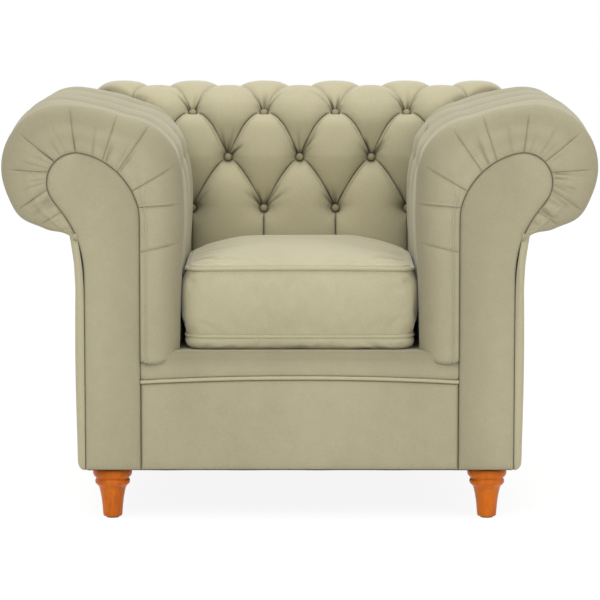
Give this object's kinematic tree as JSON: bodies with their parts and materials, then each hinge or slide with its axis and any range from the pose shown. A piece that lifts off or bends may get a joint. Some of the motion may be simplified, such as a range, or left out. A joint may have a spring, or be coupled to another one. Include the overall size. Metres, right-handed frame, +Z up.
{
  "type": "chesterfield armchair",
  "caption": "Deep-buttoned chesterfield armchair in sage velvet, with scroll arms, a rolled back, a loose box seat cushion with piped seams and turned wooden feet",
  "frame": {"origin": "On the floor, under the middle of the chair's outline: z = 0 is the underside of the foot glides.", "axes": "The chair faces -Y. +X runs to the right as seen by someone who looks at its front, along the width. +Z is up. Left and right in the node names are as seen from the front."},
  "size_m": [1.14, 0.9, 0.8107],
  "materials": {
    "velvet": "sage green velvet with a soft sheen",
    "stained_wood": "turned hardwood, warm stain, satin lacquer",
    "frame_timber": "sawn beech, not finished",
    "plated_steel": "zinc plated",
    "jute": "woven jute webbing and hessian",
    "wadding": "bonded fibre pad",
    "lining_cloth": "black woven lining",
    "glide_plastic": "moulded, matt"
  },
  "bodies": {
    "chair": {"arm_buttons_left": "velvet", "arm_buttons_right": "velvet", "arm_facing_left": "velvet", "arm_facing_right": "velvet", "arm_front_board_left": "frame_timber", "arm_front_board_right": "frame_timber", "arm_rear_post_left": "frame_timber", "arm_rear_post_right": "frame_timber", "arm_tacking_rail_left": "frame_timber", "arm_tacking_rail_right": "frame_timber", "arm_top_rail_left": "frame_timber", "arm_top_rail_right": "frame_timber", "arm_webbing_left": "jute", "arm_webbing_right": "jute", "back_buttons": "velvet", "back_rail": "frame_timber", "back_tacking_rail": "frame_timber", "back_top_rail": "frame_timber", "back_uprights": "frame_timber", "back_webbing": "jute", "corner_blocks": "frame_timber", "deck_cover": "velvet", "dust_cover": "lining_cloth", "feet": "stained_wood", "foot_bolts": "plated_steel", "foot_glides": "glide_plastic", "foot_plates": "plated_steel", "front_border": "velvet", "front_border_piping": "velvet", "front_rail": "frame_timber", "inside_arm_left": "velvet", "inside_arm_right": "velvet", "inside_back": "velvet", "outside_arm_left": "velvet", "outside_arm_right": "velvet", "outside_back": "velvet", "platform_pad": "wadding", "seat_hessian": "jute", "seat_springs": "plated_steel", "side_rail_left": "frame_timber", "side_rail_right": "frame_timber", "spring_clips": "plated_steel", "spring_tie_wires": "plated_steel"},
    "cushion": {"seat_cushion": "velvet", "cushion_piping_top": "velvet", "cushion_piping_bottom": "velvet"}
  },
  "joints": [
    {"name": "cushion_lift", "type": "slide", "parent": "chair", "child": "cushion", "axis": [0, 0, 1], "range_m": [0, 0.5]}
  ]
}
